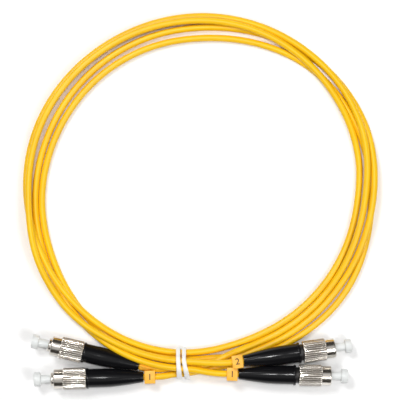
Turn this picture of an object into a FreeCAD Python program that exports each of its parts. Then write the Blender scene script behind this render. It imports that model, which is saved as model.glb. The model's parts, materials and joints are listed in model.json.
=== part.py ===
import FreeCAD, Part
import math
import os

# Duplex optical patch cord lying coiled on a table: two round cords, each with a threaded
# 2.5 mm ferrule plug on both ends, wound into one loose ring and held by a coated wire tie.
# Millimetres. The table is z = 0, +X runs along the tied side of the ring and +Y points
# from the plugs towards the ring. The origin is under the middle of the plugs' outline.

# Cords
CORD_OD = 3.0
JACKET_WALL = 0.55
YARN_CLEARANCE = 0.02
BUFFER_OD = 0.9
YARN_BORE = 1.0

# Ring of cord: its centre, and the radius of the outermost lane at the right, far and left
# sides. Lanes lie side by side on the table, and the last stretch climbs onto the others.
RING_X = 4.55
RING_Y = 75.0
LANE_GAP = 0.1
LANE = CORD_OD + LANE_GAP
TURN_GAP = 0.3
OUTER_LANE_RIGHT = 76.9
OUTER_LANE_FAR = 81.3
OUTER_LANE_LEFT = 80.4
UPPER_LANE_LEFT = 74.8
UPPER_GAP = 0.5
UPPER_STEP = CORD_OD + UPPER_GAP
TABLE_REST = CORD_OD / 2

# Where the cords are back on the table on both sides of the tie, in quarters of the ring
EASED_AFTER = 0.15
EASED_BEFORE = 0.2
OUTER_LANE_AFTER = 77.6
OUTER_LANE_BEFORE = 81.7
SLOPE_AFTER = 0.07
SLOPE_BEFORE = 0.06

# Ring of cord where it is tied: y of the outermost lane, and y and slope of the cords on top
TIE_X = -3.95
TIED_LANE_Y = -5.4
STARTING_SLOPE = 0.06
PASSING_SLOPE = 0.04
UPPER_Y = {1: -2.85, 2: 0.55}
UPPER_SLOPE = {1: -0.11, 2: -0.11}
TIE_SECTION_H = 1.0
TIE_SECTION_W = 2.2
TIE_FIT = 0.05
TIED_REST = TIE_FIT + TIE_SECTION_H + TABLE_REST
UPPER_REST = TIED_REST + UPPER_STEP

# Plug, measured along its axis from the rear face of the boot
BOOT_LENGTH = 25.9
BOOT_REAR_R = 2.35
BOOT_BODY_R = 4.25
BOOT_TAPER_END = 16.3
BOOT_COLLAR_R = 4.65
BOOT_COLLAR_LENGTH = 1.0
CORD_HOLE_CLEARANCE = 0.15
SLEEVE_WALL = 0.5
SLEEVE_LENGTH = 8.0
SLEEVE_TAIL_LENGTH = 3.2
SLEEVE_TAIL_WALL = 0.4
STEM_R = 2.1
STEM_LENGTH = 8.3
STEM_START = BOOT_LENGTH - STEM_LENGTH
STEM_FIT = 0.1
JACKET_TO_STEM = 0.6
STEM_BORE_R = 0.7
SEAT_CLEARANCE = 0.05
REAR_SHOULDER_R = 3.6
REAR_SHOULDER_LENGTH = 2.95
REAR_NECK_R = 3.0
REAR_BODY_AHEAD = 6.1
BARREL_START = BOOT_LENGTH + REAR_BODY_AHEAD
BARREL_LENGTH = 9.9
BARREL_END = BARREL_START + BARREL_LENGTH
BARREL_R = 2.95
BARREL_FLANGE_R = 3.55
BARREL_FLANGE_LENGTH = 1.5
BARREL_BORE_R = 2.05
SPRING_BORE_R = 2.4
SPRING_POCKET = 3.8
SPRING_SEAT = BARREL_START - SPRING_POCKET
KEY_WIDTH = 2.0
KEY_HEIGHT = 0.55
KEY_FROM_REAR = 3.5
KEY_FROM_FRONT = 0.9
KEY_START = BARREL_START + KEY_FROM_REAR
KEY_END = BARREL_END - KEY_FROM_FRONT
KEY_ROOT = 0.3
FERRULE_R = 1.25
FERRULE_LENGTH = 10.5
FERRULE_PROUD = 2.1
FERRULE_TIP = BARREL_END + FERRULE_PROUD
FERRULE_CHAMFER = 0.35
HOLDER_FLANGE_R = 2.3
HOLDER_FLANGE_DEPTH = 2.4
HOLDER_FLANGE_LENGTH = 2.1
HOLDER_FLANGE_START = BARREL_START + HOLDER_FLANGE_DEPTH
HOLDER_FLANGE_END = HOLDER_FLANGE_START + HOLDER_FLANGE_LENGTH
HOLDER_TAIL_R = 1.5
HOLDER_TAIL_REACH = 2.0
HOLDER_TAIL_START = BARREL_START - HOLDER_TAIL_REACH
FERRULE_TRAVEL = 0.8
SPRING_WIRE = 0.5
SPRING_MEAN_R = 1.85
SPRING_TURNS = 4
SPRING_REAR_GAP = 0.01
SPRING_FRONT_GAP = 0.05

# Coupling nut, measured from its own rear face
NUT_LENGTH = 14.6
NUT_KNURL_LENGTH = 10.4
NUT_KNURL_R = 4.9
NUT_KNURL_DEPTH = 0.25
NUT_RIDGES = 36
NUT_RIDGE_TOP = 0.44
NUT_NOSE_R = 4.4
NUT_CHAMFER = 0.35
NUT_FIT = 0.15
NUT_LIP = 3.0
THREAD_MINOR_R = 3.65
THREAD_DEPTH = 0.3
THREAD_PITCH = 0.75
THREAD_TURNS = 11
RING_THICKNESS = 0.9
RING_POCKET_R = 4.15
RING_FIT = 0.05

# Dust cap
CAP_TUBE_R = 1.85
CAP_FIT = 0.03
CAP_GRIP = 5.5
CAP_TUBE_AHEAD = 2.5
CAP_START = FERRULE_TIP - CAP_GRIP
CAP_SHOULDER = FERRULE_TIP + CAP_TUBE_AHEAD
CAP_HEAD_R = 3.1
CAP_HEAD_LENGTH = 3.0
CAP_EDGE = 0.4
CAP_TIP_ROOM = 0.3
CAP_DRILL_POINT = 0.5

# Cord marker
MARKER_LENGTH = 4.9
MARKER_GAP = 0.4
MARKER_WALL = 0.55
MARKER_PLATE_W = 5.9
MARKER_PLATE_H = 0.7
MARKER_CLEARANCE = 0.02
MARKER_PLATE_LIFT = 0.15

# Crimp sleeve, from its step to its ends
SLEEVE_AHEAD = 0.3
SLEEVE_START = STEM_START - JACKET_TO_STEM - SLEEVE_AHEAD
SLEEVE_TAIL_START = SLEEVE_START - SLEEVE_TAIL_LENGTH
SLEEVE_R = STEM_R + STEM_FIT + SLEEVE_WALL
SLEEVE_TAIL_R = CORD_OD / 2 + MARKER_CLEARANCE + SLEEVE_TAIL_WALL

# Where each plug lies: the rear face of its boot, its heading, how far its nose dips,
# where its nut rests on its slide, and how far its marker is rolled about the cord
NUT_REAR_GAP = 0.1
NUT_PULLED = 1.3
NUT_BACK = BOOT_LENGTH + NUT_REAR_GAP
NUT_FORWARD = NUT_BACK + NUT_PULLED
PLUGS = {
    "left_1": {"rear": (-21.75, -6.9), "heading": 181.2, "dip": -2.2,
               "nut": NUT_BACK, "rests_at": NUT_BACK + NUT_CHAMFER, "roll": 0.0},
    "left_2": {"rear": (-23.95, -1.65), "heading": 166.8, "dip": -3.5,
               "nut": NUT_BACK, "rests_at": NUT_BACK + NUT_CHAMFER, "roll": 55.0},
    "right_1": {"rear": (21.15, -5.4), "heading": -1.2, "dip": 1.5,
                "nut": NUT_FORWARD, "rests_at": NUT_FORWARD + NUT_KNURL_LENGTH - NUT_CHAMFER,
                "roll": 0.0},
    "right_2": {"rear": (23.35, 0.8), "heading": 7.7, "dip": 4.5,
                "nut": NUT_FORWARD, "rests_at": NUT_FORWARD + NUT_KNURL_LENGTH - NUT_CHAMFER,
                "roll": 0.0},
}

# Points of each lead, chosen by hand, between its straight stretch behind the boot and the
# stretch that lines up with its lane under the tie
LEAD_STRAIGHT = {"left_1": 9.0, "left_2": 9.0, "right_1": 8.6, "right_2": 8.6}
LEAD_POINTS = {
    "left_1": [],
    "left_2": [],
    "right_1": [(6.85, -4.5, UPPER_REST)],
    "right_2": [(9.05, -0.3, UPPER_REST + 1.4)],
}
LEAD_ALIGNED = {"left": 4.2, "right": 5.2}

# Coated wire tie: its two wraps, and how much room they leave round the bundle
TIE_PITCH = 3.4
TIE_CORE_R = 0.25
TIE_BEND_R = 1.3
TIE_LEAN = 0.8
TIE_SIDE_FIT = 0.15
TIE_SHOULDER_DROP = 4.0
TIE_TOP_OUTER_Y = -5.0
TIE_TOP_INNER_Y = 2.6
TIE_END_Y = -1.2

# Rounding of a lead's corners, and how the cords are measured
CORNER_SHARE = 0.45
VOLUME_TOLERANCE = 0.002
GAP_STEP = 1.5
NEXT_TURN = 100.0

V = FreeCAD.Vector
AXIS_X = V(1, 0, 0)
AXIS_Z = V(0, 0, 1)


def turned(profile):
    """Solid of revolution about the local x axis from (x, radius) points."""
    points = [V(x, r, 0) for x, r in profile]
    face = Part.Face(Part.makePolygon(points + [points[0]]))
    return face.revolve(V(0, 0, 0), AXIS_X, 360)


def tube(x0, x1, outer, inner):
    return turned([(x0, inner), (x1, inner), (x1, outer), (x0, outer)])


def plug_frame(spot):
    """Placement of a plug whose nut rests on the table by the edge of its knurl."""
    dip = math.radians(spot["dip"])
    height = NUT_KNURL_R * math.cos(dip) + spot["rests_at"] * math.sin(dip)
    tilt = FreeCAD.Rotation(V(0, 1, 0), spot["dip"])
    turn = FreeCAD.Rotation(AXIS_Z, spot["heading"])
    return FreeCAD.Placement(V(*spot["rear"], height), turn.multiply(tilt))


def on_axis(spot, distance):
    return plug_frame(spot).multVec(V(distance, 0, 0))


# Plug pieces in the plug's own frame

def boot():
    front = BOOT_LENGTH
    collar = front - BOOT_COLLAR_LENGTH
    hole = CORD_OD / 2 + CORD_HOLE_CLEARANCE
    tail = SLEEVE_TAIL_R + CORD_HOLE_CLEARANCE
    wide = SLEEVE_R + CORD_HOLE_CLEARANCE
    first = SLEEVE_TAIL_START - CORD_HOLE_CLEARANCE
    second = SLEEVE_START - CORD_HOLE_CLEARANCE
    return turned([
        (0, hole), (first, hole), (first, tail), (second, tail), (second, wide), (front, wide),
        (front, BOOT_COLLAR_R), (collar, BOOT_COLLAR_R), (collar, BOOT_BODY_R),
        (BOOT_TAPER_END, BOOT_BODY_R), (0, BOOT_REAR_R)])


def crimp_sleeve():
    """Stepped sleeve: its tail grips the jacket, the rest the yarn on the crimp stem."""
    grip = CORD_OD / 2 + MARKER_CLEARANCE
    end = SLEEVE_START + SLEEVE_LENGTH
    step = SLEEVE_START + SLEEVE_WALL
    return turned([
        (SLEEVE_TAIL_START, grip), (step, grip), (step, STEM_R + STEM_FIT),
        (end, STEM_R + STEM_FIT), (end, SLEEVE_R), (SLEEVE_START, SLEEVE_R),
        (SLEEVE_START, SLEEVE_TAIL_R), (SLEEVE_TAIL_START, SLEEVE_TAIL_R)])


def rear_body():
    shoulder = BOOT_LENGTH + SEAT_CLEARANCE
    neck = shoulder + REAR_SHOULDER_LENGTH
    return turned([
        (STEM_START, STEM_BORE_R), (SPRING_SEAT, STEM_BORE_R), (SPRING_SEAT, SPRING_BORE_R),
        (BARREL_START, SPRING_BORE_R), (BARREL_START, REAR_NECK_R), (neck, REAR_NECK_R),
        (neck, REAR_SHOULDER_R), (shoulder, REAR_SHOULDER_R), (shoulder, STEM_R),
        (STEM_START, STEM_R)])


def front_barrel():
    stop = HOLDER_FLANGE_END + SEAT_CLEARANCE
    flange = BARREL_START + BARREL_FLANGE_LENGTH
    body = turned([
        (BARREL_START, SPRING_BORE_R), (stop, SPRING_BORE_R), (stop, BARREL_BORE_R),
        (BARREL_END, BARREL_BORE_R), (BARREL_END, BARREL_R - NUT_CHAMFER),
        (BARREL_END - NUT_CHAMFER, BARREL_R), (flange, BARREL_R),
        (flange, BARREL_FLANGE_R), (BARREL_START, BARREL_FLANGE_R)])
    sunk = BARREL_R - KEY_ROOT
    key = Part.makeBox(KEY_END - KEY_START, KEY_WIDTH, BARREL_R + KEY_HEIGHT - sunk,
                       V(KEY_START, -KEY_WIDTH / 2, sunk))
    return body.fuse(key).removeSplitter()


def ferrule():
    start = FERRULE_TIP - FERRULE_LENGTH
    return turned([
        (start, 0), (FERRULE_TIP, 0), (FERRULE_TIP, FERRULE_R - FERRULE_CHAMFER),
        (FERRULE_TIP - FERRULE_CHAMFER, FERRULE_R), (start, FERRULE_R)])


def ferrule_holder():
    pocket = FERRULE_TIP - FERRULE_LENGTH
    bore = BUFFER_OD / 2 + SEAT_CLEARANCE
    return turned([
        (HOLDER_TAIL_START, bore), (pocket, bore), (pocket, FERRULE_R),
        (HOLDER_FLANGE_END, FERRULE_R), (HOLDER_FLANGE_END, HOLDER_FLANGE_R),
        (HOLDER_FLANGE_START, HOLDER_FLANGE_R), (HOLDER_FLANGE_START, HOLDER_TAIL_R),
        (HOLDER_TAIL_START, HOLDER_TAIL_R)])


def ferrule_spring():
    """Open spring between the rear body's seat and the ferrule holder."""
    start = SPRING_SEAT + SPRING_WIRE / 2 + SPRING_REAR_GAP
    end = HOLDER_FLANGE_START - FERRULE_TRAVEL - SPRING_WIRE / 2 - SPRING_FRONT_GAP
    rise = (end - start) / (4 * SPRING_TURNS)
    edges = []
    for quarter in range(4 * SPRING_TURNS):
        spots = []
        for number in (quarter, quarter + 1):
            angle = math.radians(90 * number)
            point = V(start + rise * number, SPRING_MEAN_R * math.cos(angle),
                      SPRING_MEAN_R * math.sin(angle))
            ahead = V(rise, -SPRING_MEAN_R * math.pi / 2 * math.sin(angle),
                      SPRING_MEAN_R * math.pi / 2 * math.cos(angle)).normalize()
            spots += [point, ahead]
        edges += arc_edges(*spots)
    return swept(edges, SPRING_WIRE / 2, "spring")


def nut_ring(nut_start):
    start = nut_start + NUT_LIP + RING_FIT
    return tube(start, start + RING_THICKNESS, RING_POCKET_R - RING_FIT,
                REAR_NECK_R + RING_FIT)


def coupling_nut(nut_start):
    """Knurled nut with its lip, the ring's pocket and the inner thread."""
    lip = NUT_LIP
    pocket = lip + RING_THICKNESS + 2 * RING_FIT
    bore = [(0, REAR_SHOULDER_R + NUT_FIT), (lip, REAR_SHOULDER_R + NUT_FIT),
            (lip, RING_POCKET_R), (pocket, RING_POCKET_R), (pocket, THREAD_MINOR_R)]
    thread = NUT_LENGTH - NUT_CHAMFER - (THREAD_TURNS + 1) * THREAD_PITCH
    for turn in range(THREAD_TURNS):
        crest = thread + turn * THREAD_PITCH
        bore += [(crest, THREAD_MINOR_R),
                 (crest + THREAD_PITCH / 2, THREAD_MINOR_R + THREAD_DEPTH)]
    bore += [(NUT_LENGTH - NUT_CHAMFER, THREAD_MINOR_R),
             (NUT_LENGTH, THREAD_MINOR_R + NUT_CHAMFER)]
    outside = [(NUT_LENGTH, NUT_NOSE_R - NUT_CHAMFER), (NUT_LENGTH - NUT_CHAMFER, NUT_NOSE_R),
               (NUT_KNURL_LENGTH, NUT_NOSE_R), (NUT_KNURL_LENGTH, NUT_KNURL_R - NUT_CHAMFER),
               (NUT_KNURL_LENGTH - NUT_CHAMFER, NUT_KNURL_R), (NUT_CHAMFER, NUT_KNURL_R),
               (0, NUT_KNURL_R - NUT_CHAMFER)]
    blank = turned(bore + outside)
    step = 2 * math.pi / NUT_RIDGES
    rim = []
    for ridge in range(NUT_RIDGES):
        for share, radius in ((-NUT_RIDGE_TOP / 2, NUT_KNURL_R), (NUT_RIDGE_TOP / 2, NUT_KNURL_R),
                              (0.5, NUT_KNURL_R - NUT_KNURL_DEPTH)):
            angle = (ridge + share) * step
            rim.append(V(0, radius * math.cos(angle), radius * math.sin(angle)))
    knurl = Part.Face(Part.makePolygon(rim + [rim[0]])).extrude(V(NUT_LENGTH, 0, 0))
    nut = blank.common(knurl)
    nut.translate(V(nut_start, 0, 0))
    return nut


def dust_cap():
    end = CAP_SHOULDER + CAP_HEAD_LENGTH
    hole = FERRULE_R + CAP_FIT
    bottom = FERRULE_TIP + CAP_TIP_ROOM
    return turned([
        (CAP_START, hole), (bottom, hole), (bottom + CAP_DRILL_POINT, 0), (end, 0),
        (end, CAP_HEAD_R - CAP_EDGE), (end - CAP_EDGE, CAP_HEAD_R),
        (CAP_SHOULDER + CAP_EDGE, CAP_HEAD_R), (CAP_SHOULDER, CAP_HEAD_R - CAP_EDGE),
        (CAP_SHOULDER, CAP_TUBE_R), (CAP_START, CAP_TUBE_R)])


def marker(roll):
    """Ring that grips the cord, with a flat face on top that carries the cord's number."""
    end = -MARKER_GAP
    start = end - MARKER_LENGTH
    inner = CORD_OD / 2 + MARKER_CLEARANCE
    ring = tube(start, end, inner + MARKER_WALL, inner)
    plate = Part.makeBox(MARKER_LENGTH, MARKER_PLATE_W, MARKER_PLATE_H,
                         V(start, -MARKER_PLATE_W / 2, inner + MARKER_PLATE_LIFT))
    body = ring.fuse(plate).removeSplitter()
    body.rotate(V(0, 0, 0), AXIS_X, roll)
    return body


# Paths made of straight runs and arcs

def arc_edges(start, start_dir, end, end_dir):
    """Two arcs that leave start along start_dir and reach end along end_dir."""
    chord = end - start
    both = start_dir + end_dir
    facing = 1 - start_dir.dot(end_dir)
    along = chord.dot(both)
    span = chord.dot(chord)
    if facing < 1e-9:
        reach = span / (4 * chord.dot(end_dir))
    else:
        reach = (-along + math.sqrt(along * along + 2 * facing * span)) / (2 * facing)
    meet_a = start + start_dir * reach
    meet_b = end - end_dir * reach
    middle = (meet_a + meet_b) * 0.5
    return [arc_to(start, start_dir, middle), arc_to(middle, (meet_b - meet_a).normalize(), end)]


def arc_to(start, direction, end):
    """Arc from start, leaving along direction, to end, or a line where it is straight."""
    chord = end - start
    half = direction.getAngle(chord)
    if half < 1e-6:
        return Part.makeLine(start, end)
    side = (chord - direction * chord.dot(direction)).normalize()
    radius = chord.Length / (2 * math.sin(half))
    centre = start + side * radius
    turn = 2 * half
    halfway = centre + (direction * math.sin(half) - side * math.cos(half)) * radius
    assert turn < math.pi
    return Part.Arc(start, halfway, end).toShape()


def rounded_path(points, name, bend=None):
    """Straight runs joined by arcs as large as the two runs beside each corner allow."""
    edges = []
    at = points[0]
    radii = []
    for before, corner, after in zip(points, points[1:], points[2:]):
        inward = (corner - before).normalize()
        outward = (after - corner).normalize()
        turn = inward.getAngle(outward)
        if bend:
            trim = bend * math.tan(turn / 2)
        else:
            trim = CORNER_SHARE * min((corner - before).Length, (after - corner).Length)
        radii.append(trim / math.tan(turn / 2))
        begin = corner - inward * trim
        finish = corner + outward * trim
        edges.append(Part.makeLine(at, begin))
        edges.append(arc_to(begin, inward, finish))
        at = finish
    edges.append(Part.makeLine(at, points[-1]))
    print(name, "smallest bend radius", round(min(radii), 1), "mm")
    return edges


def ring_point(quarter, radius, height):
    """Point of the ring, quarters counted from the tied side towards +X."""
    angle = math.radians(90 * quarter - 90)
    return V(RING_X + radius * math.cos(angle), RING_Y + radius * math.sin(angle), height)


def ring_direction(quarter, slope=0):
    angle = math.radians(90 * quarter - 90)
    outward = V(math.cos(angle), math.sin(angle), 0)
    forward = V(-math.sin(angle), math.cos(angle), 0)
    return (forward - outward * slope).normalize()


def tied(y, height, slope):
    """Point and direction of a cord where it passes under the middle of the tie."""
    return V(TIE_X, y, height), V(1, slope, 0).normalize()


def ring_stations(cord):
    """Point and direction of one cord at the tie and at points between, through two turns."""
    lane = (cord - 1) * LANE
    passing = lane + 2 * LANE
    second = passing + TURN_GAP
    raised = TABLE_REST + UPPER_STEP

    def at(quarter, radius, height=TABLE_REST, slope=0):
        return ring_point(quarter, radius, height), ring_direction(quarter, slope)

    return [
        tied(TIED_LANE_Y + lane, TIED_REST, STARTING_SLOPE),
        at(EASED_AFTER, OUTER_LANE_AFTER - lane, slope=SLOPE_AFTER),
        at(1, OUTER_LANE_RIGHT - lane),
        at(2, OUTER_LANE_FAR - lane),
        at(3, OUTER_LANE_LEFT - lane),
        at(4 - EASED_BEFORE, OUTER_LANE_BEFORE - passing, slope=SLOPE_BEFORE),
        tied(TIED_LANE_Y + passing, TIED_REST, PASSING_SLOPE),
        at(4 + EASED_AFTER, OUTER_LANE_AFTER - passing, slope=SLOPE_AFTER),
        at(5, OUTER_LANE_RIGHT - second),
        at(6, OUTER_LANE_FAR - second),
        at(7, UPPER_LANE_LEFT - lane, raised),
        tied(UPPER_Y[cord], UPPER_REST, UPPER_SLOPE[cord]),
    ]


def ring_edges(cord):
    """Unbroken line of one cord's two turns, a pair of arcs between stations."""
    stations = ring_stations(cord)
    start, ahead = stations[0]
    end, onward = stations[-1]
    at = start + ahead * CORD_OD
    edges = [Part.makeLine(start, at)]
    for point, direction in stations[1:-1] + [(end - onward * CORD_OD, onward)]:
        edges += arc_edges(at, ahead, point, direction)
        at, ahead = point, direction
    edges.append(Part.makeLine(at, end))
    return edges


def swept(edges, radius, name):
    """Round bar along a path, checked against its section times its length."""
    path = Part.Wire(edges)
    start = edges[0].valueAt(edges[0].FirstParameter)
    tangent = edges[0].tangentAt(edges[0].FirstParameter)
    section = Part.Wire(Part.makeCircle(radius, start, tangent))
    bar = path.makePipeShell([section], True, False)
    share = bar.Volume / (math.pi * radius ** 2 * path.Length)
    if abs(share - 1) > VOLUME_TOLERANCE:
        print(name, "volume is", round(share, 4), "of section times length")
    return bar


# The four leads, each from the plug's crimp out of its boot and on to the ring

def lead_edges(plug, start):
    """Path of a lead that begins at the given distance along its plug."""
    spot = PLUGS[plug]
    side, cord = plug.split("_")
    stations = ring_stations(int(cord))
    if side == "left":
        point, ahead = stations[0]
        aligned = point - ahead * LEAD_ALIGNED[side]
    else:
        point, ahead = stations[-1]
        aligned = point + ahead * LEAD_ALIGNED[side]
    points = [on_axis(spot, start), on_axis(spot, -LEAD_STRAIGHT[plug])]
    points += [V(*place) for place in LEAD_POINTS[plug]] + [aligned, point]
    return rounded_path(points, "lead " + plug)


def least_gap(edges, name):
    """Least distance between the surfaces of two turns of one cord."""
    points = []
    along = 0
    for edge in edges:
        count = max(2, int(edge.Length / GAP_STEP))
        spots = edge.discretize(count + 1)[:-1]
        for number, point in enumerate(spots):
            points.append((along + edge.Length * number / count, point))
        along += edge.Length
    least, nearest = min(
        ((p - q).Length, index) for index, (at_p, p) in enumerate(points)
        for at_q, q in points[index + 1:] if at_q - at_p > NEXT_TURN)
    place = points[nearest][1]
    print(name, "least gap to itself", round(least - CORD_OD, 2), "mm near",
          [round(value, 1) for value in place], "length", round(along, 1), "mm")


# Coated wire tie

def tie_edges():
    """Two wraps round the bundle; the ends lie flat beneath it."""
    skin = TIE_SECTION_H / 2
    around = TABLE_REST + TIE_FIT + skin
    outer = TIED_LANE_Y - TIE_SIDE_FIT - around
    inner = TIED_LANE_Y + 3 * LANE + TIE_SIDE_FIT + around
    top = UPPER_REST + around
    shoulder = top - TIE_SHOULDER_DROP
    begin = TIE_X - TIE_PITCH / 2
    points = [V(begin, TIE_END_Y, skin)]
    for wrap in range(2):
        x = begin + wrap * TIE_PITCH
        points += [
            V(x - TIE_LEAN / 2, inner, skin), V(x - TIE_LEAN / 2, inner, shoulder),
            V(x - TIE_LEAN / 2, TIE_TOP_INNER_Y, top),
            V(x + TIE_LEAN / 2, TIE_TOP_OUTER_Y, top),
            V(x + TIE_LEAN, outer, shoulder), V(x + TIE_LEAN, outer, skin)]
    points.append(V(begin + TIE_PITCH + TIE_LEAN, TIE_END_Y, skin))
    return rounded_path(points, "tie", TIE_BEND_R)


def twist_tie():
    edges = tie_edges()
    start = edges[0].valueAt(edges[0].FirstParameter)
    oval = Part.Ellipse(start + V(TIE_SECTION_W / 2, 0, 0),
                        start + V(0, 0, TIE_SECTION_H / 2), start)
    sweep = Part.BRepOffsetAPI.MakePipeShell(Part.Wire(edges))
    sweep.setBiNormalMode(AXIS_X)
    sweep.add(Part.Wire(oval.toShape()))
    sweep.build()
    sweep.makeSolid()
    band = sweep.shape()
    core = swept(edges, TIE_CORE_R, "tie core")
    return band.cut(core), core


def export(shape, name):
    solids = shape.Solids
    assert solids and shape.isValid(), name
    whole = solids[0] if len(solids) == 1 else Part.makeCompound(solids)
    whole.exportStep(os.path.join("parts", name + ".step"))
    print(name, len(solids), "solid", round(whole.Volume, 2), "mm3")


def build_plug(name, spot):
    """All pieces of one plug, moved from the plug's frame to where it lies."""
    pieces = {
        "boot": boot(), "crimp_sleeve": crimp_sleeve(), "rear_body": rear_body(),
        "front_barrel": front_barrel(), "ferrule": ferrule(),
        "ferrule_holder": ferrule_holder(), "ferrule_spring": ferrule_spring(),
        "nut_ring": nut_ring(spot["nut"]), "coupling_nut": coupling_nut(spot["nut"]),
        "dust_cap": dust_cap(), "cord_marker": marker(spot["roll"])}
    frame = plug_frame(spot)
    for piece, shape in pieces.items():
        shape.Placement = frame.multiply(shape.Placement)
        export(shape, piece + "_" + name)


def build_cord(cord):
    """Jacket in three stretches, with the yarn and the buffered fibre inside it whole."""
    left_name, right_name = "left_" + str(cord), "right_" + str(cord)
    crimp = STEM_START - JACKET_TO_STEM
    left = lead_edges(left_name, crimp)
    ring = ring_edges(cord)
    right = lead_edges(right_name, crimp)
    label = "cord_" + str(cord)
    least_gap(left + ring, label)
    bore = CORD_OD / 2 - JACKET_WALL
    for name, edges in ((label + "_left_lead", left), (label + "_coil", ring),
                        (label + "_right_lead", right)):
        jacket = swept(edges, CORD_OD / 2, name).cut(swept(edges, bore, name))
        export(jacket, name)
        print(name, "length", round(Part.Wire(edges).Length, 1), "mm")
    whole = left + ring + [reverse(edge) for edge in reversed(right)]
    yarn = swept(whole, bore - YARN_CLEARANCE, "yarn").cut(swept(whole, YARN_BORE / 2, "yarn"))
    export(yarn, "strength_yarn_" + str(cord))
    reach = FERRULE_TIP - FERRULE_LENGTH - FERRULE_TRAVEL - SEAT_CLEARANCE
    left = lead_edges(left_name, reach)
    right = lead_edges(right_name, reach)
    whole = left + ring + [reverse(edge) for edge in reversed(right)]
    export(swept(whole, BUFFER_OD / 2, "fibre"), "buffered_fibre_" + str(cord))


def reverse(edge):
    """The same edge run the other way."""
    start = edge.valueAt(edge.LastParameter)
    end = edge.valueAt(edge.FirstParameter)
    if edge.Curve.TypeId == "Part::GeomLine":
        return Part.makeLine(start, end)
    middle = edge.valueAt((edge.FirstParameter + edge.LastParameter) / 2)
    return Part.Arc(start, middle, end).toShape()


def main():
    os.makedirs("parts", exist_ok=True)
    for cord in (1, 2):
        build_cord(cord)
    for name, spot in PLUGS.items():
        build_plug(name, spot)
    band, core = twist_tie()
    export(band, "tie_coating")
    export(core, "tie_wire")


main()
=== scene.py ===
# %% [markdown]
# A duplex optical patch cord lies coiled on a table: two yellow cords, four threaded plugs
# with black boots and knurled nuts, and a white wire tie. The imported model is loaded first
# and stays fixed. Every piece made below is in metres, in that model's own place.

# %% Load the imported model
import json
import math

import bmesh
import bpy
from mathutils import Matrix, Vector


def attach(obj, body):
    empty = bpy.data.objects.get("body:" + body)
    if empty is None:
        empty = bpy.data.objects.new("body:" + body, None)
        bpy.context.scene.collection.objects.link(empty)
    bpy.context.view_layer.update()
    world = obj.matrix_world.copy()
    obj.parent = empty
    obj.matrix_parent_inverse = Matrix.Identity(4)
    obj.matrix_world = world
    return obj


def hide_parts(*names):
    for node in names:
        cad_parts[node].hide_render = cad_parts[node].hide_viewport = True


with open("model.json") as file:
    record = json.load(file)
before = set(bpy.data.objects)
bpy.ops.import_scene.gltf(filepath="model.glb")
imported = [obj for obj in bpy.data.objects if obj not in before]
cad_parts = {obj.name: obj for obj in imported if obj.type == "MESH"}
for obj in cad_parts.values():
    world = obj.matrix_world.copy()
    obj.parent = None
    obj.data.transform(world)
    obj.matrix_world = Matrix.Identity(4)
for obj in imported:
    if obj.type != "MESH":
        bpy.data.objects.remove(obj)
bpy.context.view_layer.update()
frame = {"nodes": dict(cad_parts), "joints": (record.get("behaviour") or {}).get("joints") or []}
MM = 0.001
PLUGS = ("left_1", "left_2", "right_1", "right_2")

# %% [markdown]
# The photograph looks straight down on the ring. A long lens far above shows the ring flat,
# with little of the plugs' sides. A short lens near the table would spread the plugs, so the
# long one is right. Its width of view is a real size on the table.

# %% Camera straight above the ring
VIEW_WIDTH = 181.8 * MM
VIEW_MIDDLE = (3.83 * MM, 73.15 * MM)
SENSOR = 36.0
LENS = 180.0

camera_data = bpy.data.cameras.new("overhead_camera")
camera_data.sensor_width = SENSOR
camera_data.lens = LENS
camera_data.clip_start = 0.01
camera = bpy.data.objects.new("overhead_camera", camera_data)
camera.location = (*VIEW_MIDDLE, VIEW_WIDTH * LENS / SENSOR)
bpy.context.scene.collection.objects.link(camera)
bpy.context.scene.camera = camera
print("camera height", round(camera.location.z, 3), "m")

# %% [markdown]
# Each plug has a frame of its own: x along its axis from the boot's rear face, z up. The
# model's joints hold that axis and the point where the nut turns, so the frame comes from
# them. A point on the axis then needs one number.

# %% Frames of the plugs
NUT_REST = {"left": 26.0 * MM, "right": 27.3 * MM}


def plug_frame(plug):
    """Matrix from a plug's own frame to the table."""
    spin = next(j for j in frame["joints"] if j["name"] == "nut_spin_" + plug)
    along = Vector(spin["axis"]).normalized()
    rear = Vector(spin["pos_m"]) - along * NUT_REST[plug.split("_")[0]]
    across = Vector((0, 0, 1)).cross(along).normalized()
    up = along.cross(across)
    turn = Matrix((along, across, up)).transposed().to_4x4()
    return Matrix.Translation(rear) @ turn


PLUG_FRAMES = {plug: plug_frame(plug) for plug in PLUGS}


def on_axis(plug, distance):
    """Point on a plug's axis, a distance in millimetres ahead of its boot's rear face."""
    return PLUG_FRAMES[plug] @ Vector((distance * MM, 0, 0))


for plug in PLUGS:
    print(plug, "rear at", [round(v / MM, 2) for v in on_axis(plug, 0)], "mm")

# %% [markdown]
# Each cord runs twice round the ring between its two plugs. Its turns slide over and under
# each other, which a few keys describe: an angle from the tied side, the radius there and
# the height of the cord's middle. A loop reads the keys at even steps, and the smooth spline
# through those points is the cord. Modelled rings would not cross like real turns.

# %% Keys of the two turns of each cord
RING_MIDDLE = Vector((4.5, 75.0))
CORD_D = 3.0 * MM
TURN_STEP = 9.0

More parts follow.
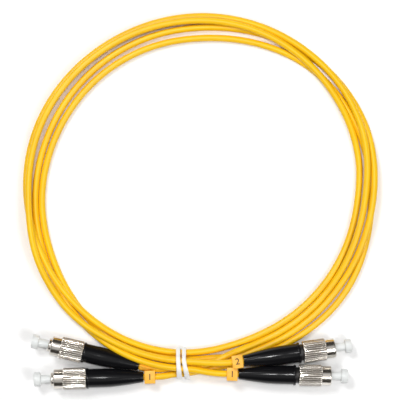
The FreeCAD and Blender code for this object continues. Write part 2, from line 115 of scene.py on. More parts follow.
TURNS = {
    "cord_1": [
        (-6.3, 80.9, 2.55), (0, 79.0, 2.0), (7, 77.8, 1.5), (14, 77.4, 1.5), (30, 77.3, 1.5),
        (40, 77.8, 1.5), (50, 78.5, 1.5), (60, 78.5, 1.5), (70, 77.9, 1.5), (80, 77.3, 1.5),
        (90, 77.1, 1.5), (105, 77.1, 1.5), (120, 77.1, 1.5), (140, 76.3, 1.5),
        (150, 75.0, 1.5), (160, 73.6, 1.5), (170, 72.4, 1.5), (180, 71.5, 1.5),
        (195, 71.3, 1.5), (240, 71.2, 1.5), (255, 71.6, 1.5), (270, 72.35, 1.5),
        (280, 72.6, 1.5), (290, 72.95, 1.5), (300, 73.85, 1.5), (311, 75.0, 1.5),
        (322, 76.2, 1.5), (332, 76.2, 1.5), (342, 75.6, 1.9), (353.7, 74.6, 2.5),
        (360, 73.8, 1.7), (363, 73.5, 1.5), (372, 74.2, 1.5), (390, 74.25, 1.5),
        (400, 74.3, 1.5), (410, 74.6, 1.5), (420, 74.9, 1.7), (427, 75.4, 3.1),
        (435, 76.0, 4.2), (440, 76.5, 4.5), (445, 77.1, 4.6), (450, 77.8, 4.5),
        (455, 78.6, 4.2), (460, 79.4, 3.6), (466, 80.3, 2.1), (472, 80.9, 1.5),
        (480, 81.1, 1.5), (490, 81.0, 1.5), (500, 80.5, 1.5), (510, 79.4, 1.5),
        (520, 78.2, 1.5), (530, 77.2, 1.5), (540, 76.3, 1.5), (555, 75.9, 1.5),
        (570, 75.5, 1.5), (600, 74.9, 1.5), (615, 74.9, 1.5), (630, 75.4, 1.5),
        (640, 75.7, 1.5), (650, 76.05, 1.5), (660, 76.95, 1.5), (671, 78.2, 1.5),
        (680, 79.2, 3.0), (690, 79.4, 5.4), (695, 79.4, 6.3), (700, 79.3, 6.5),
        (707, 78.9, 6.3),
        (713.7, 78.3, 6.2)],
    "cord_2": [
        (-6.3, 77.7, 2.55), (0, 76.6, 4.6), (3, 75.9, 4.9), (6, 74.7, 4.9), (9, 73.2, 4.7),
        (12, 71.9, 4.25), (16, 71.35, 2.6), (21, 71.2, 1.5), (28, 71.2, 1.5),
        (34, 71.2, 1.5),
        (50, 71.5, 1.5), (58, 71.7, 2.0), (64, 71.9, 3.3), (70, 72.2, 4.2), (80, 72.9, 4.5),
        (90, 74.1, 4.5), (95, 75.1, 4.5), (100, 76.2, 4.6), (105, 77.3, 4.7),
        (110, 78.3, 4.7), (120, 79.5, 4.6), (130, 80.4, 4.6), (140, 80.7, 4.6),
        (150, 81.0, 4.4), (156, 81.2, 3.6), (164, 81.4, 2.1), (172, 81.5, 1.5),
        (180, 81.5, 1.5), (210, 81.0, 1.5), (240, 81.0, 1.5), (255, 80.5, 1.5),
        (264, 79.9, 1.5), (270, 79.4, 1.6), (277, 78.5, 2.4), (283, 77.8, 3.8),
        (290, 76.9, 4.6), (300, 76.2, 4.8), (311, 75.2, 4.8), (320, 74.5, 4.6),
        (330, 73.8, 4.0), (340, 73.0, 3.2), (353.7, 71.5, 2.5), (360, 70.6, 2.0),
        (367, 69.6, 1.5), (375, 68.5, 1.5), (381, 68.2, 1.5), (388, 68.1, 1.5),
        (394, 68.1, 1.5),
        (410, 68.4, 1.5), (420, 68.8, 1.5), (430, 69.4, 1.5), (440, 70.0, 1.5),
        (450, 71.0, 1.5), (460, 72.8, 1.5), (467, 73.7, 1.6), (474, 74.3, 2.4),
        (480, 74.9, 3.8), (490, 75.8, 4.5), (500, 76.9, 4.7), (510, 77.9, 4.9),
        (518, 78.6, 4.9), (526, 79.0, 4.6), (540, 79.4, 4.1), (555, 79.5, 4.1),
        (570, 79.6, 4.3), (600, 79.6, 4.3), (615, 79.1, 4.3), (624, 78.5, 4.7),
        (630, 78.1, 5.2), (637, 78.3, 6.1), (643, 78.8, 6.8), (650, 79.4, 6.8),
        (660, 79.5, 6.4), (671, 79.4, 6.1), (680, 78.3, 6.65), (690, 76.6, 6.9),
        (700, 76.1, 6.7), (707, 75.5, 6.3), (713.7, 74.9, 6.1)],
}


def read_key(keys, angle):
    """Radius and height at an angle, on a smooth curve through the keys."""
    index = max(i for i in range(len(keys) - 1) if i == 0 or keys[i][0] <= angle)
    here, there = keys[index], keys[index + 1]
    before = keys[max(index - 1, 0)]
    after = keys[min(index + 2, len(keys) - 1)]
    span = there[0] - here[0]
    t = (angle - here[0]) / span
    values = []
    for k in (1, 2):
        leaving = span * (there[k] - before[k]) / (there[0] - before[0])
        arriving = span * (after[k] - here[k]) / (after[0] - here[0])
        values.append((2 * t ** 3 - 3 * t ** 2 + 1) * here[k] + (t ** 3 - 2 * t ** 2 + t) * leaving
                      + (3 * t ** 2 - 2 * t ** 3) * there[k] + (t ** 3 - t ** 2) * arriving)
    return values


def turn_points(keys):
    """Points of a cord's turns, at even steps, a little proud since the spline cuts inside."""
    first, last = keys[0][0], keys[-1][0]
    count = round((last - first) / TURN_STEP)
    step = (last - first) / count
    proud = 1 / (0.75 + 0.25 * math.cos(math.radians(step)))
    points = []
    for number in range(count + 1):
        radius, height = read_key(keys, first + step * number)
        turn = math.radians(first + step * number - 90)
        flat = RING_MIDDLE + Vector((math.cos(turn), math.sin(turn))) * radius * proud
        points.append(Vector((*flat, height)) * MM)
    return points


# %% [markdown]
# A lead is the stretch between the tie and a plug. It is straight for a few diameters
# behind the boot, as the stiff jacket is, and then bends gently into its lane under the tie.
# Its far end goes on inside the boot, up to the metal stem.

# %% Leads and the whole line of each cord
INSIDE_BOOT = (16.5, 10.0, 4.0)
BEHIND_BOOT = {"left": (-3.0, -9.0), "right": (-3.0, -8.6)}
LEAD_POINTS = {
    "left_1": [(-8.15, -5.65, 2.6)],
    "left_2": [(-8.15, -2.55, 2.6)],
    "right_1": [(6.85, -4.5, 6.45), (1.25, -3.42, 6.55)],
    "right_2": [(9.05, -0.3, 7.95), (5.0, -0.25, 7.4), (1.25, 0.0, 6.6)],
}


def lead_points(plug):
    """Points of a lead, from inside its boot to the tie."""
    distances = INSIDE_BOOT + BEHIND_BOOT[plug.split("_")[0]]
    points = [on_axis(plug, distance) for distance in distances]
    return points + [Vector(place) * MM for place in LEAD_POINTS[plug]]


def cord_line(name):
    """All the points of one cord, from its left plug to its right plug."""
    number = name[-1]
    right = lead_points("right_" + number)
    return lead_points("left_" + number) + turn_points(TURNS[name]) + right[::-1]


def tube_curve(name, points, diameter, sides):
    """Round tube along one smooth open spline, or the bare line where the diameter is 0."""
    data = bpy.data.curves.new(name, "CURVE")
    data.dimensions = "3D"
    data.resolution_u = 10
    data.bevel_depth = 1.0 if diameter > 0 else 0.0
    data.bevel_resolution = sides
    data.use_fill_caps = True
    spline = data.splines.new("NURBS")
    spline.points.add(len(points) - 1)
    for spot, place in zip(spline.points, points):
        spot.co = (*place, 1)
        spot.radius = diameter / 2
    spline.order_u = 3
    spline.use_endpoint_u = True
    piece = bpy.data.objects.new(name, data)
    bpy.context.scene.collection.objects.link(piece)
    return piece


def line_length(points):
    """Length of the spline through the points, measured on its middle line."""
    probe = tube_curve("probe", points, 0, 0)
    mesh = bpy.data.meshes.new_from_object(probe)
    places = [v.co.copy() for v in mesh.vertices]
    bpy.data.objects.remove(probe)
    bpy.data.meshes.remove(mesh)
    return sum((b - a).length for a, b in zip(places, places[1:]))


# %% [markdown]
# A cord is three things, one inside another: the yellow jacket, a sleeve of strength yarn
# and the buffered fibre. All three follow the same line, so each is a tube on that line.

# %% Cords with their yarn and fibre
YARN_D = 1.86 * MM
FIBRE_D = 0.9 * MM
jackets = {}
inner_tubes = {}
for name in TURNS:
    number = name[-1]
    line = cord_line(name)
    jacket = tube_curve(name + "_jacket", line, CORD_D, 6)
    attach(jacket, "root")
    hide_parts(name + "_left_lead", name + "_coil", name + "_right_lead")
    yarn = tube_curve(name + "_yarn", line, YARN_D, 2)
    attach(yarn, "root")
    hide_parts("strength_yarn_" + number)
    fibre = tube_curve(name + "_fibre", line, FIBRE_D, 2)
    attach(fibre, "root")
    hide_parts("buffered_fibre_" + number)
    jackets[name] = jacket
    inner_tubes[name] = (yarn, fibre)
    print(name, "length", round(line_length(line) / MM, 1), "mm")

# %% [markdown]
# Moulded plastic, plated brass and elastomer differ in how they scatter light, so each gets
# a material of its own. Small noise in the bump and the roughness keeps a surface from
# looking computed. Colours are written as they look under a plain light.

# %% Helper for materials


def finish(name, colour, roughness, metallic=0.0, coat=0.0, specular=0.5):
    """A material with the values that are the same all over."""
    material = bpy.data.materials.new(name)
    material.use_nodes = True
    shader = material.node_tree.nodes["Principled BSDF"]
    shader.inputs["Base Color"].default_value = (*colour, 1)
    shader.inputs["Roughness"].default_value = roughness
    shader.inputs["Metallic"].default_value = metallic
    shader.inputs["Coat Weight"].default_value = coat
    shader.inputs["Specular IOR Level"].default_value = specular
    return material


def noise(material, size, detail=3.0, stretch=(1, 1, 1)):
    """Noise whose blotches are about size millimetres across, fixed to the piece."""
    nodes, links = material.node_tree.nodes, material.node_tree.links
    place = nodes.new("ShaderNodeTexCoord")
    scale = nodes.new("ShaderNodeMapping")
    scale.inputs["Scale"].default_value = stretch
    texture = nodes.new("ShaderNodeTexNoise")
    texture.inputs["Scale"].default_value = 1 / (size * MM)
    texture.inputs["Detail"].default_value = detail
    links.new(place.outputs["Object"], scale.inputs["Vector"])
    links.new(scale.outputs["Vector"], texture.inputs["Vector"])
    return texture.outputs["Fac"]


def vary_colour(material, amount, low, high):
    """Blend the base colour between two, by a noise that mostly runs from 0.3 to 0.7."""
    nodes, links = material.node_tree.nodes, material.node_tree.links
    ramp = nodes.new("ShaderNodeValToRGB")
    ramp.color_ramp.elements[0].position = 0.3
    ramp.color_ramp.elements[0].color = (*low, 1)
    ramp.color_ramp.elements[1].position = 0.7
    ramp.color_ramp.elements[1].color = (*high, 1)
    links.new(amount, ramp.inputs["Fac"])
    links.new(ramp.outputs["Color"], nodes["Principled BSDF"].inputs["Base Color"])


def vary_roughness(material, amount, low, high):
    """Spread the roughness between two values."""
    nodes, links = material.node_tree.nodes, material.node_tree.links
    spread = nodes.new("ShaderNodeMapRange")
    spread.inputs["To Min"].default_value = low
    spread.inputs["To Max"].default_value = high
    links.new(amount, spread.inputs["Value"])
    links.new(spread.outputs["Result"], nodes["Principled BSDF"].inputs["Roughness"])


def roughen(material, height, depth):
    """Bump of a depth in millimetres."""
    nodes, links = material.node_tree.nodes, material.node_tree.links
    bump = nodes.new("ShaderNodeBump")
    bump.inputs["Distance"].default_value = depth * MM
    links.new(height, bump.inputs["Height"])
    links.new(bump.outputs["Normal"], nodes["Principled BSDF"].inputs["Normal"])


# %% [markdown]
# The jacket is soft vinyl, dyed through, with a satin skin that is a little uneven from the
# extruder. The yarn and the buffer inside it hardly show, and still get their own finish.

# %% Jacket, yarn and buffer
YELLOW = (0.97, 0.585, 0.008)
YELLOW_DEEP = (0.93, 0.53, 0.006)
jacket_vinyl = finish("jacket_vinyl", YELLOW, 0.4, specular=0.35)
vary_colour(jacket_vinyl, noise(jacket_vinyl, 14.0), YELLOW_DEEP, YELLOW)
vary_roughness(jacket_vinyl, noise(jacket_vinyl, 3.0), 0.3, 0.42)
roughen(jacket_vinyl, noise(jacket_vinyl, 0.5, detail=5.0), 0.014)

yarn_fibres = finish("yarn_fibres", (0.80, 0.62, 0.20), 0.6)
vary_colour(yarn_fibres, noise(yarn_fibres, 0.3), (0.62, 0.44, 0.10), (0.86, 0.70, 0.28))
roughen(yarn_fibres, noise(yarn_fibres, 0.2), 0.05)

buffer_plastic = finish("buffer_plastic", (0.90, 0.90, 0.86), 0.35)
vary_roughness(buffer_plastic, noise(buffer_plastic, 1.0), 0.3, 0.45)

for name, jacket in jackets.items():
    jacket.data.materials.append(jacket_vinyl)
    yarn, fibre = inner_tubes[name]
    yarn.data.materials.append(yarn_fibres)
    fibre.data.materials.append(buffer_plastic)
    print(name, "jacket, yarn and fibre finished")

# %% [markdown]
# Plug pieces are turned or moulded round an axis. One helper makes a skin over rings of
# points: each ring has its place along the axis and its radius, which may follow the angle,
# as a knurl's does. Another rounds a profile's corners, as a tool or a mould leaves them.

# %% Helpers for turned pieces
CORNER_STEPS = 4


def rounded(profile):
    """Profile of (along, radius, corner) with each corner rounded, as (along, radius)."""
    places = [Vector((x, r)) for x, r, _ in profile]
    result = []
    for index, (x, r, corner) in enumerate(profile):
        here = places[index]
        back = places[index - 1] - here
        ahead = places[(index + 1) % len(places)] - here
        if corner <= 0:
            result.append((x, r))
            continue
        begin = here + back.normalized() * corner
        end = here + ahead.normalized() * corner
        for step in range(CORNER_STEPS + 1):
            t = step / CORNER_STEPS
            spot = begin * (1 - t) ** 2 + here * 2 * t * (1 - t) + end * t ** 2
            result.append((spot.x, spot.y))
    return result


def skin(name, rings, plug, sides, shift=0.0):
    """Closed mesh over rings of (along, radius), millimetres in the plug's frame."""
    mesh = bpy.data.meshes.new(name)
    build = bmesh.new()
    rows = []
    for along, radius in rings:
        row = []
        for side in range(sides):
            angle = 2 * math.pi * side / sides
            reach = radius(angle) if callable(radius) else radius
            spot = Vector((along + shift, reach * math.cos(angle), reach * math.sin(angle)))
            row.append(build.verts.new(PLUG_FRAMES[plug] @ (spot * MM)))
        rows.append(row)
    for row, after in zip(rows, rows[1:] + rows[:1]):
        for side in range(sides):
            other = (side + 1) % sides
            build.faces.new((row[side], row[other], after[other], after[side]))
    bmesh.ops.remove_doubles(build, verts=build.verts, dist=0.002 * MM)
    bmesh.ops.recalc_face_normals(build, faces=build.faces)
    build.to_mesh(mesh)
    build.free()
    mesh.shade_smooth()
    piece = bpy.data.objects.new(name, mesh)
    bpy.context.scene.collection.objects.link(piece)
    return piece


def keep_edges(piece, degrees=35):
    """Shade sharp where faces meet at more than this angle."""
    piece.data.set_sharp_from_angle(angle=math.radians(degrees))


# %% [markdown]
# The boot is one piece of black elastomer: a collar against the nut, a round body and a long
# taper that bends with the cord. It is turned, with a soft mould edge and two faint seam
# lines, which show the two halves of the mould.

# %% Boots
BOOT_LENGTH = 25.9
COLLAR_FROM = 24.9
COLLAR_R = 4.65
BOOT_BORE = 1.65
THROAT_R = 2.07
SLEEVE_BORE = 2.85
SLEEVE_FROM = 13.4
SEAM_HEIGHT = 0.05
SEAM_WIDTH = 0.002
BOOT_SIDES = 128


def with_seam(radius):
    """Radius as a function of the angle, with a fine ridge on both sides."""
    def reach(angle):
        nearness = abs(math.cos(angle))
        return radius + SEAM_HEIGHT * max(0.0, (nearness - 1 + SEAM_WIDTH) / SEAM_WIDTH)
    return reach


def boot_rings():
    """Rings of the boot, outside and back through its bore, with a seam on the outside."""
    outside = [
        (0, 2.35, 0.3), (2.0, 2.62, 0.5), (6.5, 3.25, 2.0), (11.5, 3.86, 2.0),
        (16.3, 4.22, 2.0), (COLLAR_FROM, 4.25, 0.12), (COLLAR_FROM, COLLAR_R, 0.2),
        (BOOT_LENGTH, COLLAR_R, 0.25)]
    inside = [
        (BOOT_LENGTH, SLEEVE_BORE, 0.1), (SLEEVE_FROM, SLEEVE_BORE, 0.0),
        (SLEEVE_FROM, THROAT_R, 0.0), (9.0, BOOT_BORE, 0.0), (0, BOOT_BORE, 0.1)]
    rings = []
    for along, radius in rounded(outside + inside):
        rings.append((along, with_seam(radius) if radius > SLEEVE_BORE + 0.05 else radius))
    return rings


boot_rubber = finish("boot_rubber", (0.006, 0.006, 0.007), 0.2, specular=0.24)
vary_roughness(boot_rubber, noise(boot_rubber, 2.5), 0.12, 0.22)
roughen(boot_rubber, noise(boot_rubber, 0.35, detail=5.0), 0.008)
for plug in PLUGS:
    boot = skin("moulded_boot_" + plug, boot_rings(), plug, BOOT_SIDES)
    keep_edges(boot, 50)
    boot.data.materials.append(boot_rubber)
    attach(boot, "root")
    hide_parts("boot_" + plug)
    print(boot.name, BOOT_LENGTH, "mm long,", len(boot.data.polygons), "faces")

# %% [markdown]
# The coupling nut is turned brass with straight ridges rolled round it, a plain nose and a
# fine thread inside, then plated with bright nickel. The ridges and the thread are real
# geometry: the radius of each ring follows the angle. A bump would flatten at the rim. The
# lower faces of the grooves get a darker nickel of their own. It is painted shade for the
# dark in the crevices.

# %% Coupling nuts
RIDGES = 28
RIDGE_DEPTH = 0.5
CREST_SHARE = 0.4
KNURL_R = 4.9
NOSE_R = 4.4
NUT_LENGTH = 14.6
KNURL_LENGTH = 10.4
THREAD_R = 3.65
THREAD_DEPTH = 0.3
THREAD_PITCH = 0.75
THREAD_FROM = 5.0
THREAD_TO = 14.0
THREAD_STEPS = 6
RING_ROOM_R = 4.15
BODY_BORE_R = 3.75
NUT_SIDES = RIDGES * 12


def ridged(radius, share):
    """Radius that dips between the ridges by a share of their full depth."""
    def reach(angle):
        across = RIDGES * angle / (2 * math.pi) % 1
        groove = max(0.0, abs(2 * across - 1) - CREST_SHARE) / (1 - CREST_SHARE)
        return radius - RIDGE_DEPTH * share * groove
    return reach


def threaded(along):
    """Radius inside the nut where a helical groove passes."""
    def reach(angle):
        turn = (along / THREAD_PITCH - angle / (2 * math.pi)) % 1
        return THREAD_R + THREAD_DEPTH * (1 - abs(2 * turn - 1))
    return reach


def nut_rings():
    """Rings of the nut: knurl, nose, thread and the room at the back for the nut's ring."""
    rings = [(0.0, 4.35), (0.02, 4.5), (0.16, ridged(4.72, 0.2)), (0.35, ridged(4.86, 0.6)),
             (0.6, ridged(KNURL_R, 1)), (9.8, ridged(KNURL_R, 1)), (10.05, ridged(4.86, 0.6)),
             (10.25, ridged(4.72, 0.2)), (10.38, 4.52), (KNURL_LENGTH, 4.45),
             (KNURL_LENGTH, NOSE_R), (10.5, NOSE_R - 0.02), (14.1, NOSE_R), (14.35, 4.36),
             (14.52, 4.24), (NUT_LENGTH, 4.1), (NUT_LENGTH, 3.98), (14.4, 3.8),
             (14.15, THREAD_R)]
    count = int((THREAD_TO - THREAD_FROM) / THREAD_PITCH * THREAD_STEPS)
    for number in range(count + 1):
        along = THREAD_TO - (THREAD_TO - THREAD_FROM) * number / count
        rings.append((along, threaded(along)))
    rings += [(4.6, THREAD_R), (4.0, THREAD_R), (4.0, RING_ROOM_R), (3.0, RING_ROOM_R),
              (3.0, BODY_BORE_R), (0.15, BODY_BORE_R), (0.0, 3.9)]
    return rings


nickel = finish("bright_nickel", (0.74, 0.70, 0.64), 0.2, metallic=1.0)
vary_roughness(nickel, noise(nickel, 0.8, detail=5.0), 0.12, 0.26)
vary_colour(nickel, noise(nickel, 6.0), (0.68, 0.635, 0.575), (0.78, 0.74, 0.68))
roughen(nickel, noise(nickel, 0.25, detail=6.0), 0.006)
# Painted shade: a dark, dull nickel for the groove bottoms, in place of the shade that falls in
# the crevices.
groove_shade_nickel = finish("painted_groove_shade", (0.30, 0.27, 0.235), 0.42, metallic=0.9)
vary_roughness(groove_shade_nickel, noise(groove_shade_nickel, 0.5), 0.36, 0.55)
GROOVES_FROM = 0.3
GROOVES_TO = 10.1
GROOVE_LOWEST = NOSE_R - 0.05
SHADE_BELOW = KNURL_R - RIDGE_DEPTH / 2


def paint_groove_shade(nut, plug, shift):
    """Give the lower part of the grooves the darker nickel, painted shade of the crevices."""
    to_plug = PLUG_FRAMES[plug].inverted()
    for face in nut.data.polygons:
        spot = (to_plug @ face.center) / MM
        reach = math.hypot(spot.y, spot.z)
        in_knurl = GROOVES_FROM < spot.x - shift < GROOVES_TO
        # Faces below this radius in the knurl get the painted groove shade.
        if in_knurl and GROOVE_LOWEST < reach < SHADE_BELOW:
            face.material_index = 1


for plug in PLUGS:
    shift = NUT_REST[plug.split("_")[0]] / MM
    nut = skin("knurled_nut_" + plug, nut_rings(), plug, NUT_SIDES, shift)
    keep_edges(nut, 40)
    nut.data.materials.append(nickel)
    nut.data.materials.append(groove_shade_nickel)
    paint_groove_shade(nut, plug, shift)
    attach(nut, "nut_body_" + plug)
    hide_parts("coupling_nut_" + plug)
    print(nut.name, RIDGES, "ridges,", len(nut.data.polygons), "faces")

# %% [markdown]
# The dust cap is a soft, cloudy plastic tube with a round head, pushed over the ferrule. It
# is turned with rounded edges and a shallow dimple where it left its mould. Some light goes
# through it, so part of its shader transmits.

# %% Dust caps
CAP_PROFILE = [
    (38.5, 1.28, 0.0), (38.5, 1.85, 0.15), (46.5, 1.85, 0.2), (46.5, 3.1, 0.45),
    (49.5, 3.1, 0.6), (49.5, 1.2, 0.3), (49.3, 0.0, 0.0), (44.8, 0.0, 0.0), (44.3, 1.28, 0.0)]
CAP_SIDES = 96

cap_plastic = finish("cloudy_cap_plastic", (0.93, 0.95, 0.94), 0.32)
cap_shader = cap_plastic.node_tree.nodes["Principled BSDF"]
cap_shader.inputs["Transmission Weight"].default_value = 0.25
cap_shader.inputs["IOR"].default_value = 1.45
vary_roughness(cap_plastic, noise(cap_plastic, 1.2), 0.28, 0.42)
roughen(cap_plastic, noise(cap_plastic, 0.8), 0.01)
for plug in PLUGS:
    cap = skin("soft_cap_" + plug, rounded(CAP_PROFILE), plug, CAP_SIDES)
    keep_edges(cap, 50)
    cap.data.materials.append(cap_plastic)
    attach(cap, "cap_body_" + plug)
    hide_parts("dust_cap_" + plug)
    print(cap.name, len(cap.data.polygons), "faces")

# %% [markdown]
# A marker is a small yellow ring with a flat face that grips the cord by its boot. The ring
# is turned and the face is a box with rounded edges. A plain number stands on it, 1 or 2 for
# each cord, turned so that it reads upright from above the ring.

# %% Faces of the markers and their numbers
MARKER_FROM = -5.3
MARKER_TO = -0.4
MARKER_RING_R = 2.07
MARKER_BORE_R = 1.53
PLATE_WIDTH = 5.9
PLATE_BOTTOM = 1.67
PLATE_TOP = 2.37
PLATE_EDGE = 0.22
NUMBER_SIZE = 4.0
INK_HEIGHT = 0.03
INK_SPREAD = 0.03
MARKER_ROLL = {"left_1": 0.0, "left_2": 55.0, "right_1": 0.0, "right_2": 0.0}


def marker_frame(plug):
    """The plug's frame rolled as its marker is, at the middle of the marker's face."""
    roll = Matrix.Rotation(math.radians(MARKER_ROLL[plug]), 4, "X")
    middle = Matrix.Translation(Vector(((MARKER_FROM + MARKER_TO) / 2 * MM, 0, PLATE_TOP * MM)))
    return PLUG_FRAMES[plug] @ roll @ middle


def new_mesh_piece(name, build):
    """Turn what was built into a piece of the scene."""
    mesh = bpy.data.meshes.new(name)
    build.to_mesh(mesh)
    build.free()
    piece = bpy.data.objects.new(name, mesh)
    bpy.context.scene.collection.objects.link(piece)
    return piece


def marker_plate(plug):
    """Flat face with rounded edges."""
    build = bmesh.new()
    bmesh.ops.create_cube(build, size=1)
    size = Vector((MARKER_TO - MARKER_FROM, PLATE_WIDTH, PLATE_TOP - PLATE_BOTTOM)) * MM
    bmesh.ops.scale(build, vec=size, verts=build.verts)
    bmesh.ops.translate(build, vec=(0, 0, -size.z / 2), verts=build.verts)
    bmesh.ops.bevel(build, geom=build.edges[:], offset=PLATE_EDGE * MM, segments=4,
                    profile=0.5, affect="EDGES")
    bmesh.ops.transform(build, matrix=marker_frame(plug), verts=build.verts)
    bmesh.ops.recalc_face_normals(build, faces=build.faces)
    plate = new_mesh_piece("marker_face_" + plug, build)
    plate.data.shade_smooth()
    keep_edges(plate, 40)
    return plate


def marker_number(plug):
    """The cord's number, a thin raised figure on the marker's face."""
    data = bpy.data.curves.new("figure", "FONT")
    data.body = plug[-1]
    data.size = NUMBER_SIZE * MM
    data.align_x = "CENTER"
    data.align_y = "CENTER"
    data.extrude = INK_HEIGHT * MM
    data.offset = INK_SPREAD * MM
    shape = bpy.data.objects.new("figure", data)
    bpy.context.scene.collection.objects.link(shape)
    bpy.context.view_layer.update()
    mesh = bpy.data.meshes.new_from_object(shape)
    bpy.data.objects.remove(shape)
    facing = math.pi if plug.startswith("left") else 0.0
    mesh.transform(marker_frame(plug) @ Matrix.Rotation(facing, 4, "Z"))
    figure = bpy.data.objects.new("marker_number_" + plug, mesh)
    bpy.context.scene.collection.objects.link(figure)
    return figure


# %% [markdown]
# The markers are dyed plastic, a little more orange than the cords, and their numbers are
# printed in a brown ink. The ring, the face and the number stay three pieces, so that each
# keeps clean edges.

# %% Markers on their cords
marker_yellow = finish("marker_yellow", (1.0, 0.50, 0.035), 0.42)
vary_colour(marker_yellow, noise(marker_yellow, 2.0), (0.96, 0.44, 0.02), (1.0, 0.54, 0.05))
roughen(marker_yellow, noise(marker_yellow, 0.4), 0.012)
marker_ink = finish("marker_ink", (0.05, 0.012, 0.004), 0.5)
vary_roughness(marker_ink, noise(marker_ink, 0.3), 0.45, 0.6)
RING_PROFILE = [
    (MARKER_FROM, MARKER_BORE_R, 0.05), (MARKER_FROM, MARKER_RING_R, 0.15),
    (MARKER_TO, MARKER_RING_R, 0.15), (MARKER_TO, MARKER_BORE_R, 0.05)]
MARKER_SIDES = 64
markers = {name: [] for name in TURNS}
for plug in PLUGS:
    ring = skin("marker_ring_" + plug, rounded(RING_PROFILE), plug, MARKER_SIDES)
    keep_edges(ring, 40)
    plate = marker_plate(plug)
    figure = marker_number(plug)
    ring.data.materials.append(marker_yellow)
    plate.data.materials.append(marker_yellow)
    figure.data.materials.append(marker_ink)
    for piece in (ring, plate, figure):
        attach(piece, "root")
        markers["cord_" + plug[-1]].append(piece)
    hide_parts("cord_marker_" + plug)
    print(ring.name, "shows the number", plug[-1])

# %% [markdown]
# The tie is a soft steel wire in a flat white coating, wrapped twice round the bundle. Its
# two wraps lie side by side on top and fan apart at the near side. The band is swept along
# points round the bundle, and its flat side keeps facing the bundle.

# %% Line of the wire tie
TIE_X = (-5.65, -3.0)
TIE_THICKNESS = 1.0
TIE_POINTS = [
    (0.0, -1.2, 0.5, 2.0), (-0.1, 2.0, 0.5, 2.0), (-0.25, 4.4, 0.55, 2.0),
    (-0.35, 5.75, 1.5, 1.9), (-0.4, 5.95, 3.1, 1.9), (-0.42, 4.9, 4.9, 1.9),
    (-0.42, 3.3, 6.5, 1.9), (-0.4, 1.8, 7.75, 1.9), (-0.32, 0.2, 8.15, 2.0),
    (-0.2, -1.6, 8.2, 2.05), (-0.05, -3.2, 8.1, 2.15), (0.05, -4.7, 7.3, 2.3),
    (0.15, -6.0, 5.7, 2.4), (0.2, -7.1, 3.9, 2.5), (0.25, -7.45, 2.3, 2.5),
    (0.25, -6.8, 0.95, 2.4), (0.2, -5.2, 0.5, 2.2), (0.1, -3.2, 0.5, 2.1)]
TIE_TAIL = (0.8, -1.2, 0.5, 2.0)
TIE_FAN = 0.95
TIE_NEAR_Y = -7.5
TIE_SMOOTH = 6


def tie_stations():
    """Middle and width of the band, point by point through both wraps."""
    stations = []
    for wrap, start in enumerate(TIE_X):
        for lean, y, z, width in TIE_POINTS:
            fan = TIE_FAN * wrap * max(0.0, y / TIE_NEAR_Y)
            stations.append(Vector((start + lean + fan, y, z, width)))
    stations.append(Vector((TIE_X[1] + TIE_TAIL[0], *TIE_TAIL[1:])))
    return stations


def between(a, b, c, d, t):
    """Smooth curve from b to c, with a before and d after."""
    leaving, arriving = (c - a) / 2, (d - b) / 2
    return ((2 * t ** 3 - 3 * t ** 2 + 1) * b + (t ** 3 - 2 * t ** 2 + t) * leaving
            + (3 * t ** 2 - 2 * t ** 3) * c + (t ** 3 - t ** 2) * arriving)


def tie_line():
    """Even, smooth points between the stations."""
    stations = tie_stations()
    line = []
    for index in range(len(stations) - 1):
        near = [stations[min(max(index + k, 0), len(stations) - 1)] for k in (-1, 0, 1, 2)]
        line += [between(*near, step / TIE_SMOOTH) for step in range(TIE_SMOOTH)]
    return line + [stations[-1]]


print("tie line has", len(tie_line()), "points")

# %% [markdown]
# The coating's section is between an oval and a box, as a flat wire tie's is. It is drawn at
# each point, square to the way round the bundle, and shrinks to a round tip at both ends.
# The steel wire is a thin tube on the same points.

# %% Coating and wire of the tie
TIE_SIDES = 20
TIE_SQUARENESS = 0.7
TIE_TIP_POINTS = 3
TIE_TIP = 0.02
TIE_WIRE_D = 0.5 * MM


def tie_band():
    """Band with its width along the ring and its ends rounded off."""
    line = tie_line()
    build = bmesh.new()
    rows = []
    for index, spot in enumerate(line):
        before, after = line[max(index - 1, 0)], line[min(index + 1, len(line) - 1)]
        ahead = Vector((0, after.y - before.y, after.z - before.z)).normalized()
        outward = Vector((1, 0, 0)).cross(ahead)
        from_end = min(min(index, len(line) - 1 - index) / TIE_TIP_POINTS, 1)
        size = max(math.sqrt(1 - (1 - from_end) ** 2), TIE_TIP)
        row = []
        for side in range(TIE_SIDES):
            angle = 2 * math.pi * side / TIE_SIDES
            wide = math.copysign(abs(math.cos(angle)) ** TIE_SQUARENESS, math.cos(angle))
            thick = math.copysign(abs(math.sin(angle)) ** TIE_SQUARENESS, math.sin(angle))
            place = (spot.xyz + Vector((1, 0, 0)) * wide * spot.w / 2 * size
                     + outward * thick * TIE_THICKNESS / 2 * size)
            row.append(build.verts.new(place * MM))
        rows.append(row)
    for row, after in zip(rows, rows[1:]):
        for side in range(TIE_SIDES):
            other = (side + 1) % TIE_SIDES
            build.faces.new((row[side], row[other], after[other], after[side]))
    build.faces.new(rows[0])
    build.faces.new(rows[-1])
    bmesh.ops.recalc_face_normals(build, faces=build.faces)
    band = new_mesh_piece("tie_band", build)
    band.data.shade_smooth()
    return band


tie_coat = finish("tie_coat", (0.90, 0.90, 0.88), 0.3, coat=0.2)
vary_roughness(tie_coat, noise(tie_coat, 1.5), 0.26, 0.42)
roughen(tie_coat, noise(tie_coat, 0.7), 0.02)
band = tie_band()
band.data.materials.append(tie_coat)
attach(band, "root")
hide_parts("tie_coating")

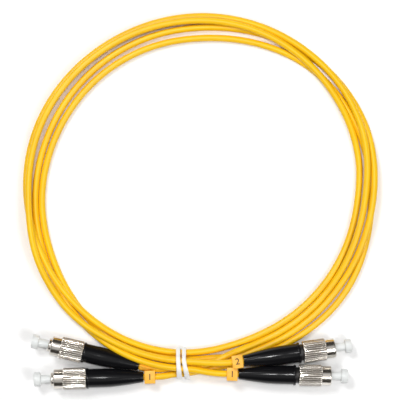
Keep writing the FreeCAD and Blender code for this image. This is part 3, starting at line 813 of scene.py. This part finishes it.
wire = tube_curve("tie_core", [spot.xyz * MM for spot in tie_stations()], TIE_WIRE_D, 2)
wire_steel = finish("wire_steel", (0.55, 0.55, 0.56), 0.35, metallic=1.0)
roughen(wire_steel, noise(wire_steel, 0.3), 0.01)
wire.data.materials.append(wire_steel)
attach(wire, "root")
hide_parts("tie_wire")
print(band.name, len(band.data.polygons), "faces round the wire", wire.name)

# %% [markdown]
# The turned metal and ceramic pieces inside a plug keep their modelled shape, and get their
# finish here. Each finish has its own grain: plated brass is bright, a spring is drawn wire
# and the ferrule is ground and polished ceramic.

# %% Finishes for the pieces inside the plugs
inner_brass = finish("plated_crimp_brass", (0.72, 0.69, 0.63), 0.28, metallic=1.0)
vary_roughness(inner_brass, noise(inner_brass, 0.7), 0.22, 0.38)
roughen(inner_brass, noise(inner_brass, 0.3), 0.008)
spring_steel = finish("drawn_spring_steel", (0.50, 0.50, 0.52), 0.3, metallic=1.0)
vary_roughness(spring_steel, noise(spring_steel, 0.4), 0.22, 0.4)
dark_brass = finish("blackened_brass", (0.035, 0.033, 0.032), 0.4, metallic=0.6)
vary_roughness(dark_brass, noise(dark_brass, 0.6), 0.32, 0.5)
ceramic = finish("ground_ceramic", (0.90, 0.90, 0.87), 0.18, coat=0.4)
vary_roughness(ceramic, noise(ceramic, 0.5), 0.14, 0.26)
roughen(ceramic, noise(ceramic, 0.2), 0.003)
INNER_FINISHES = {
    "crimp_sleeve": inner_brass, "ferrule_holder": inner_brass, "rear_body": dark_brass,
    "front_barrel": nickel, "ferrule_spring": spring_steel, "nut_ring": spring_steel,
    "ferrule": ceramic}
for piece_name, material in INNER_FINISHES.items():
    for plug in PLUGS:
        node = frame["nodes"][piece_name + "_" + plug]
        node.data.materials.clear()
        node.data.materials.append(material)
    print(piece_name, "has the finish", material.name)

# %% [markdown]
# The length of each cord's line is measured once more, and the yarn, fibre and marker
# pieces that go with the cord are counted.

for name, jacket in jackets.items():
    number = name[-1]
    line_length(cord_line(name))
    print(jacket.name, "declared with", len(inner_tubes[name]) + len(markers[name]), "pieces")

# %% [markdown]
# A white table and soft light from above make the photograph's plain ground. The sky is
# bright overhead and darker lower down, which draws the dark bands along the bright nickel.
# A small lamp adds the thin glints on the boots.

# %% Table
TABLE_SIZE = 6.0
TABLE_DROP = 0.05 * MM

build = bmesh.new()
bmesh.ops.create_grid(build, x_segments=1, y_segments=1, size=TABLE_SIZE / 2)
table = new_mesh_piece("table", build)
table.location.z = -TABLE_DROP
table_white = finish("table_white", (0.97, 0.97, 0.97), 0.9)
vary_roughness(table_white, noise(table_white, 5.0), 0.85, 0.95)
table.data.materials.append(table_white)
print("table", TABLE_SIZE, "m wide,", round(TABLE_DROP / MM, 2), "mm below the cords")

# %% [markdown]
# The sky is a ramp by height alone, so it is the same from every side. It is made in the
# world's nodes, since a picture of a sky would put coloured shapes on the bright nickel.

# %% Sky
SKY_STOPS = [
    (0.02, (0.30, 0.29, 0.28)), (0.12, (0.05, 0.047, 0.043)), (0.72, (0.05, 0.047, 0.043)),
    (0.86, (0.55, 0.55, 0.55))]

world = bpy.data.worlds.new("studio_sky")
bpy.context.scene.world = world
world.use_nodes = True
sky_nodes, sky_links = world.node_tree.nodes, world.node_tree.links
direction = sky_nodes.new("ShaderNodeTexCoord")
split = sky_nodes.new("ShaderNodeSeparateXYZ")
ramp = sky_nodes.new("ShaderNodeValToRGB")
stops = ramp.color_ramp.elements
stops[0].position, stops[1].position = SKY_STOPS[0][0], SKY_STOPS[-1][0]
for place, _ in SKY_STOPS[1:-1]:
    stops.new(place)
for stop, (_, colour) in zip(stops, SKY_STOPS):
    stop.color = (*colour, 1)
sky_links.new(direction.outputs["Generated"], split.inputs["Vector"])
sky_links.new(split.outputs["Z"], ramp.inputs["Fac"])
sky_links.new(ramp.outputs["Color"], sky_nodes["Background"].inputs["Color"])
print("sky has", len(stops), "stops")

# %% [markdown]
# Two large lamps give the soft light and the faint shadows, and their order of strength sets
# which side is darker. A spot would cut hard shadows, which the photograph doesn't show.

# %% Lamps
LAMPS = {
    "soft_key": ((-0.45, 0.65, 1.0), 0.4, 7.2), "soft_fill": ((0.6, -0.35, 0.9), 0.45, 4.8),
    "glint": ((0.0, 0.2, 1.3), 0.07, 4.2)}
LAMP_AIM = Vector((0.0, 0.05, 0.0))


def lamp(name, place, size, power):
    """Square lamp that looks at the middle of the ring's near side."""
    data = bpy.data.lights.new(name, "AREA")
    data.size = size
    data.energy = power
    piece = bpy.data.objects.new(name, data)
    piece.location = place
    aim = LAMP_AIM - Vector(place)
    piece.rotation_euler = aim.to_track_quat("-Z", "Y").to_euler()
    bpy.context.scene.collection.objects.link(piece)


for name, (place, size, power) in LAMPS.items():
    lamp(name, place, size, power)
    print(name, power, "W from a square of", size, "m")
bpy.context.scene.view_settings.view_transform = "Standard"
